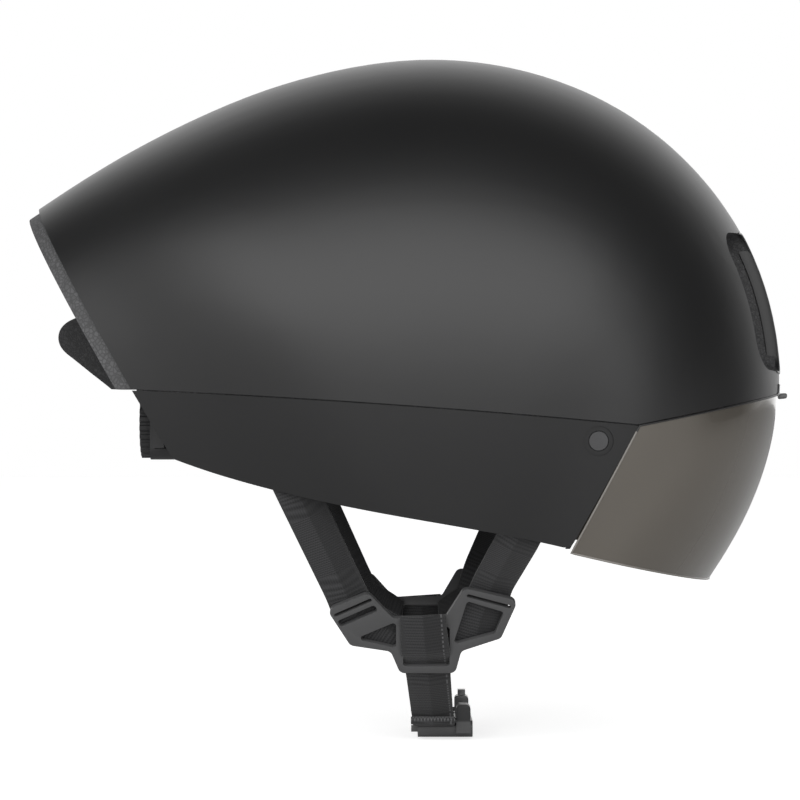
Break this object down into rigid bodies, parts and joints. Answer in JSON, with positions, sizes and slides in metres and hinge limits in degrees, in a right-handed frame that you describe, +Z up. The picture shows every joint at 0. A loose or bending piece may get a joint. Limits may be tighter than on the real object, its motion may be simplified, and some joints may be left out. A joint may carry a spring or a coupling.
{
  "type": "aero time trial helmet",
  "caption": "Short-tail aero time trial helmet with a magnetic wraparound visor, ear panels, nape fit dial and chin strap.",
  "frame": {"origin": "centre of the wearer's head at ear level, on the middle plane: the head reference point", "axes": "+X the way the wearer looks, +Y the wearer's left, +Z up to the crown"},
  "size_m": [0.3016, 0.2046, 0.2682],
  "materials": {
    "shell_skin": "satin black skin",
    "panel_skin": "matte charcoal skin",
    "liner_foam": "beaded dark grey foam",
    "trim_plastic": "speckled dark grey",
    "stud_plastic": "satin dark grey",
    "lens_mirror": "bronze-grey mirrored smoke",
    "tab_plastic": "dark grey",
    "magnet_steel": "nickel plated",
    "pad_cloth": "black brushed cloth over foam",
    "fit_nylon": "black nylon",
    "gear_nylon": "grey nylon",
    "dial_rubber": "dark grey, soft touch",
    "screw_steel": "blackened steel",
    "divider_plastic": "mid-grey moulded plastic",
    "webbing": "black twill webbing",
    "buckle_plastic": "dark grey moulded plastic"
  },
  "bodies": {
    "helmet": {"outer_shell": "shell_skin", "foam_liner": "liner_foam", "tail_diffuser": "trim_plastic", "ear_panel_right": "panel_skin", "ear_panel_left": "panel_skin", "panel_studs": "stud_plastic", "brow_dock": "trim_plastic", "side_dock_right": "trim_plastic", "side_dock_left": "trim_plastic", "dock_magnets": "magnet_steel", "brow_pad": "pad_cloth", "crown_pad_centre": "pad_cloth", "crown_pad_right": "pad_cloth", "crown_pad_left": "pad_cloth", "side_pad_right": "pad_cloth", "side_pad_left": "pad_cloth", "temple_pivot_right": "fit_nylon", "temple_pivot_left": "fit_nylon", "strap_anchors": "gear_nylon", "front_strap_right": "webbing", "front_strap_left": "webbing", "rear_strap_right": "webbing", "rear_strap_left": "webbing", "strap_divider_right": "divider_plastic", "strap_divider_left": "divider_plastic", "chin_strap_right": "webbing", "chin_strap_left": "webbing", "buckle_body": "buckle_plastic", "body_magnet": "magnet_steel"},
    "visor": {"visor_lens": "lens_mirror", "visor_tab": "tab_plastic", "visor_magnets": "magnet_steel"},
    "fit_ring": {"temple_eye_right": "fit_nylon", "temple_eye_left": "fit_nylon", "fit_band_right": "fit_nylon", "fit_band_left": "fit_nylon"},
    "cradle": {"cradle_housing": "fit_nylon", "cradle_cover": "fit_nylon", "nape_pad_right": "pad_cloth", "nape_pad_left": "pad_cloth"},
    "dial": {"fit_dial": "dial_rubber", "dial_pinion": "gear_nylon", "dial_screw": "screw_steel"},
    "right_rack": {"rack_right": "gear_nylon"},
    "left_rack": {"rack_left": "gear_nylon"},
    "tongue": {"buckle_tongue": "buckle_plastic", "tongue_magnet": "magnet_steel"}
  },
  "joints": [
    {"name": "visor_release", "type": "slide", "parent": "helmet", "child": "visor", "axis": [1, 0, 0], "range_m": [0, 0.06]},
    {"name": "fit_tilt", "type": "hinge", "parent": "helmet", "child": "fit_ring", "pos_m": [0.04, 0, 0.008], "axis": [0, -1, 0], "range_deg": [0, 4]},
    {"name": "cradle_draw", "type": "slide", "parent": "fit_ring", "child": "cradle", "axis": [1, 0, 0], "range_m": [0, 0.01], "deforming": ["fit_band_right", "fit_band_left"]},
    {"name": "dial_turn", "type": "hinge", "parent": "cradle", "child": "dial", "pos_m": [-0.1226, 0, -0.0202], "axis": [1, 0, 0], "range_deg": [0, 114.6]},
    {"name": "right_rack_draw", "type": "slide", "parent": "cradle", "child": "right_rack", "axis": [0, 1, 0], "range_m": [0, 0.01]},
    {"name": "left_rack_draw", "type": "slide", "parent": "cradle", "child": "left_rack", "axis": [0, -1, 0], "range_m": [0, 0.01]},
    {"name": "buckle_release", "type": "slide", "parent": "helmet", "child": "tongue", "axis": [1, 0, 0], "range_m": [0, 0.022], "deforming": ["chin_strap_left"]}
  ],
  "couplings": [
    {"joint": "dial_turn", "follows": "cradle_draw", "rad_per_m": 200},
    {"joint": "right_rack_draw", "follows": "cradle_draw", "ratio": 1},
    {"joint": "left_rack_draw", "follows": "cradle_draw", "ratio": 1}
  ]
}
